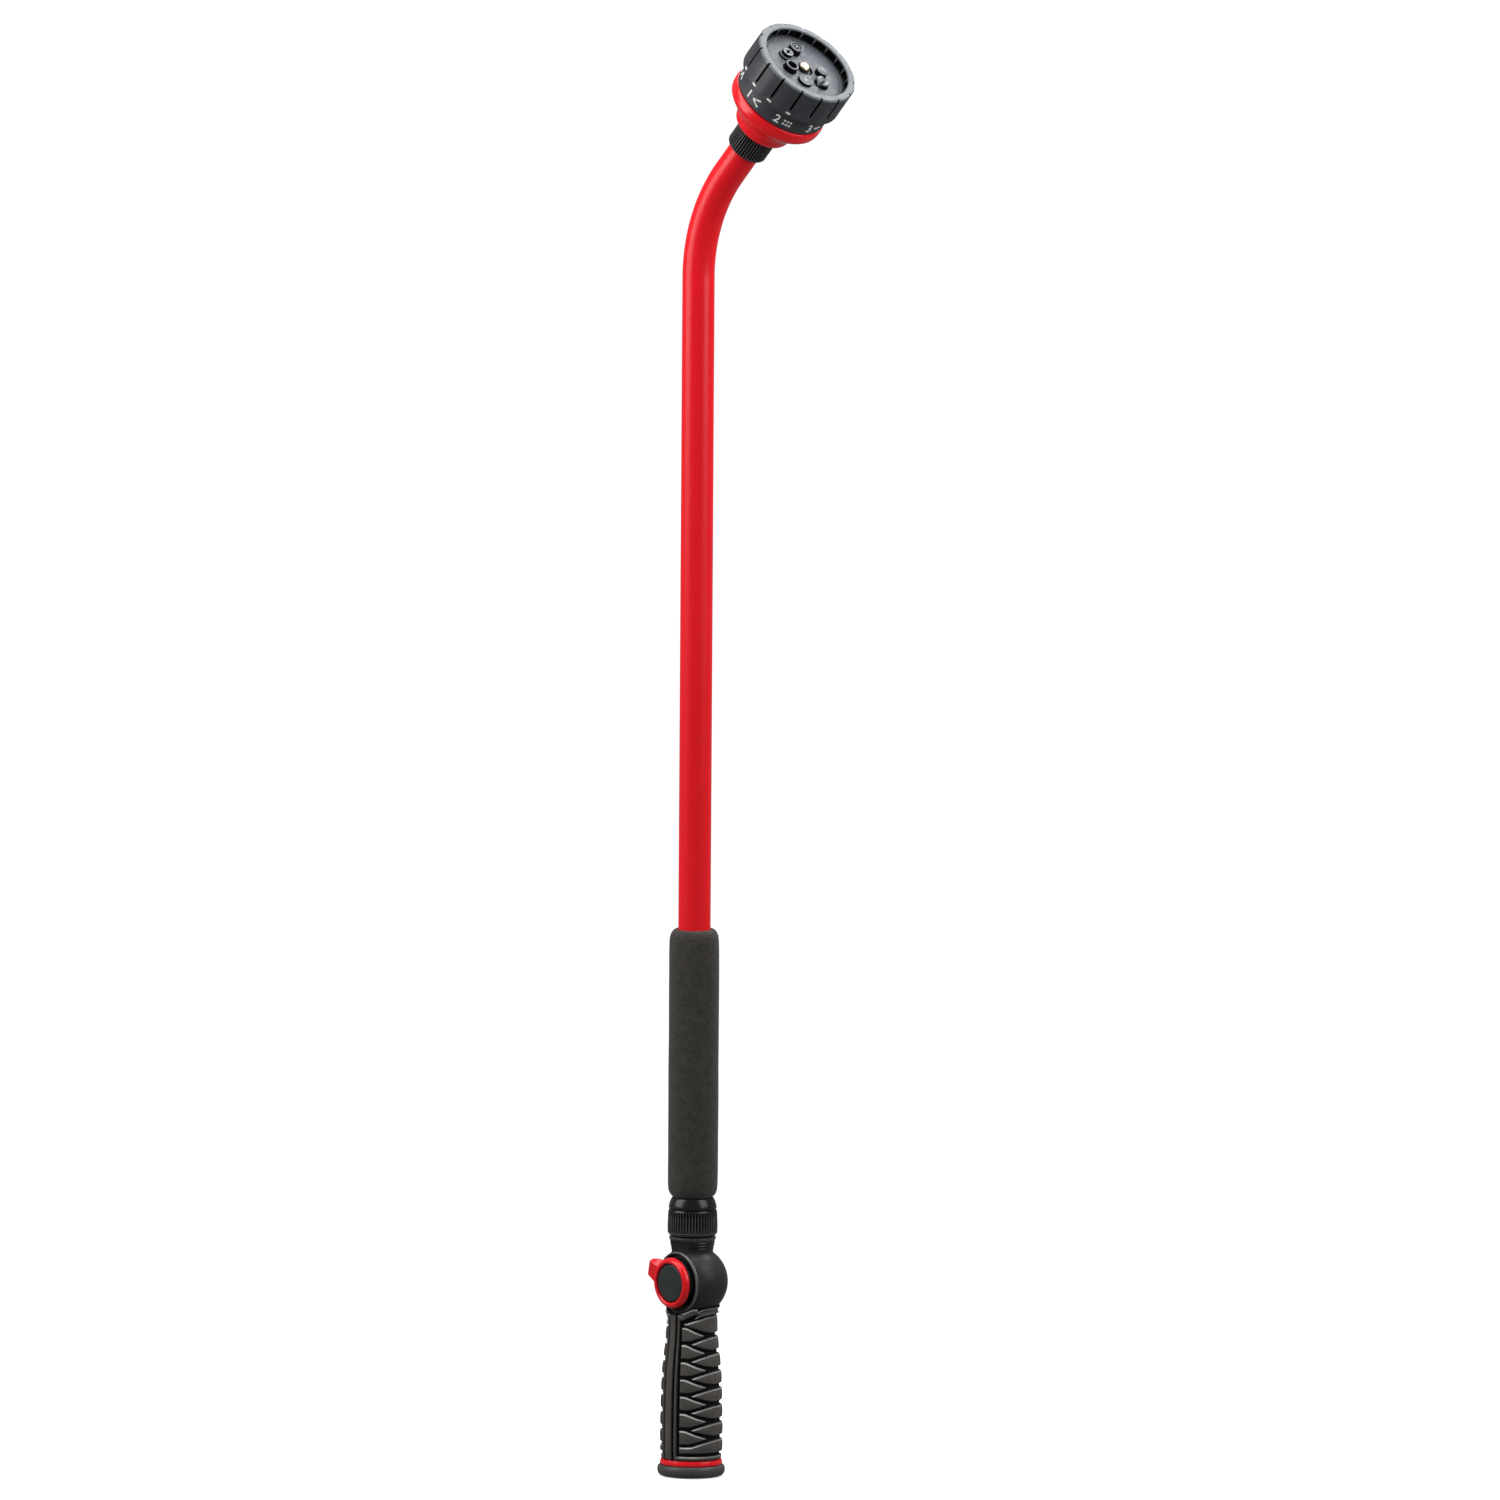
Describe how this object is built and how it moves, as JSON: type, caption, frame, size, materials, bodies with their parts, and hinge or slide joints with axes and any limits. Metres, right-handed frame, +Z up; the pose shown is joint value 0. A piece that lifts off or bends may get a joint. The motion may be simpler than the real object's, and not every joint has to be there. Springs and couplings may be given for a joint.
{
  "type": "watering wand",
  "caption": "Garden watering wand: grip with lever ball valve, foam-covered bent tube and a dial spray head with selectable nozzles.",
  "frame": {"origin": "centre of the hose-end face, at the foot of the handle", "axes": "+Z up along the straight tube, +X the way the bent head leans and sprays, +Y across the bend's plane"},
  "size_m": [0.1316, 0.065, 0.8655],
  "materials": {
    "red_gloss": "glossy moulded red",
    "red_painted_tube": "glossy red powder coat over aluminium tube",
    "charcoal_plastic": "satin charcoal moulding",
    "soft_overmould": "soft-touch overmould with wrap-shaped ribs",
    "black_plastic": "semi-gloss black moulding",
    "grey_plastic": "satin blue-grey moulding",
    "seal_rubber": "matt seal rubber",
    "foam": "closed-cell foam with a fine grain",
    "seat_plastic": "smooth white seat plastic",
    "steel": "bright stainless steel",
    "brass": "plated brass"
  },
  "bodies": {
    "wand": {"inlet_end_cap": "charcoal_plastic", "inlet_washer": "seal_rubber", "inlet_filter_screen": "steel", "accent_ring": "red_gloss", "handle_core": "black_plastic", "handle_overmould": "soft_overmould", "valve_housing": "charcoal_plastic", "valve_seat_lower": "seat_plastic", "valve_seat_upper": "seat_plastic", "stem_gland": "black_plastic", "lower_o_ring": "seal_rubber", "tube_collar": "black_plastic", "foam_grip": "foam", "wand_tube": "red_painted_tube", "upper_ferrule": "steel", "upper_o_ring": "seal_rubber", "head_rear_housing": "red_gloss", "port_plate": "black_plastic", "flow_seal": "seal_rubber", "seal_spring": "steel", "detent_spring": "steel", "pivot_screw": "brass", "pivot_washer": "steel"},
    "valve_rotor": {"valve_lever": "red_gloss", "lever_base": "charcoal_plastic", "lever_cap": "charcoal_plastic", "lever_screw": "steel", "valve_stem": "brass", "stem_o_ring": "seal_rubber", "valve_ball": "steel"},
    "spray_dial": {"dial_shell": "charcoal_plastic", "dial_back_plate": "black_plastic", "face_plate": "grey_plastic", "cone_nozzle": "grey_plastic", "star_nozzle": "grey_plastic", "jet_nozzle": "grey_plastic", "soaker_nozzle": "grey_plastic", "fan_nozzle": "grey_plastic", "shower_nozzle": "grey_plastic"},
    "lower_nut": {"lower_coupling_nut": "black_plastic"},
    "upper_nut": {"upper_coupling_nut": "black_plastic"},
    "detent": {"detent_pin": "steel"}
  },
  "joints": [
    {"name": "valve_lever_turn", "type": "hinge", "parent": "wand", "child": "valve_rotor", "pos_m": [0, 0, 0.115], "axis": [0.1685, 0.9857, 0], "range_deg": [0, 90]},
    {"name": "dial_turn", "type": "hinge", "parent": "wand", "child": "spray_dial", "pos_m": [0.07289, 0, 0.83276], "axis": [0.6428, 0, 0.766], "continuous": true},
    {"name": "lower_nut_turn", "type": "hinge", "parent": "wand", "child": "lower_nut", "pos_m": [0, 0, 0.1502], "axis": [0, 0, 1], "continuous": true},
    {"name": "upper_nut_turn", "type": "hinge", "parent": "wand", "child": "upper_nut", "pos_m": [0.04107, 0, 0.79485], "axis": [0.6428, 0, 0.766], "continuous": true},
    {"name": "detent_pin_slide", "type": "slide", "parent": "wand", "child": "detent", "axis": [-0.6428, 0, -0.766], "range_m": [0, 0.0008], "stiffness_N_per_m": 400, "springref_m": -0.001, "deforming": ["detent_spring"]}
  ]
}
